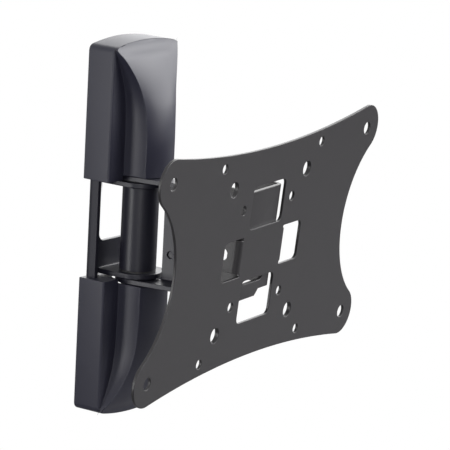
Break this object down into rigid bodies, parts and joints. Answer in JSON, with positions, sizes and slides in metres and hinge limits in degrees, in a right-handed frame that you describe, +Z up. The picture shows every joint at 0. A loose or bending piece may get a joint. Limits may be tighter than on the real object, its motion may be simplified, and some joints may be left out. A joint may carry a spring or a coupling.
{
  "type": "swivel tv wall mount",
  "caption": "Swivelling and tilting wall mount for a small flat screen, with hooded covers and a lobed screen plate.",
  "frame": {"origin": "on the wall, midway between the two wall screws and level with the middle of the swivel pin", "axes": "+Z up along the wall, +Y into the wall, the screen plate stands off towards -Y"},
  "size_m": [0.2239, 0.1093, 0.1888],
  "materials": {
    "powder_coat": "satin",
    "moulded_cover": "satin",
    "black_steel": "satin",
    "nylon": "matte"
  },
  "bodies": {
    "wall_bracket": {"wall_channel": "powder_coat", "upper_cover": "moulded_cover", "lower_cover": "moulded_cover", "pivot_sleeve": "powder_coat", "sleeve_washers": "nylon", "swivel_washers": "nylon", "pivot_bolt": "black_steel", "pivot_washers": "black_steel", "pivot_spring_washer": "black_steel", "pivot_nut": "black_steel"},
    "swivel_arm": {"arm_yoke": "powder_coat", "tilt_barrel": "powder_coat"},
    "tilt_head": {"tilt_bracket": "powder_coat", "vesa_plate": "powder_coat", "tilt_bolt": "black_steel", "tilt_washers": "black_steel", "tilt_spring_washer": "black_steel", "tilt_nut": "black_steel", "tilt_friction_discs": "nylon"}
  },
  "joints": [
    {"name": "swivel", "type": "hinge", "parent": "wall_bracket", "child": "swivel_arm", "pos_m": [0, -0.0179, 0], "axis": [0, 0, 1], "range_deg": [-43, 27]},
    {"name": "tilt", "type": "hinge", "parent": "swivel_arm", "child": "tilt_head", "pos_m": [0.00735, -0.07019, 0.012], "axis": [0.9903, 0.1392, 0], "range_deg": [-10.4, 9.5]}
  ]
}
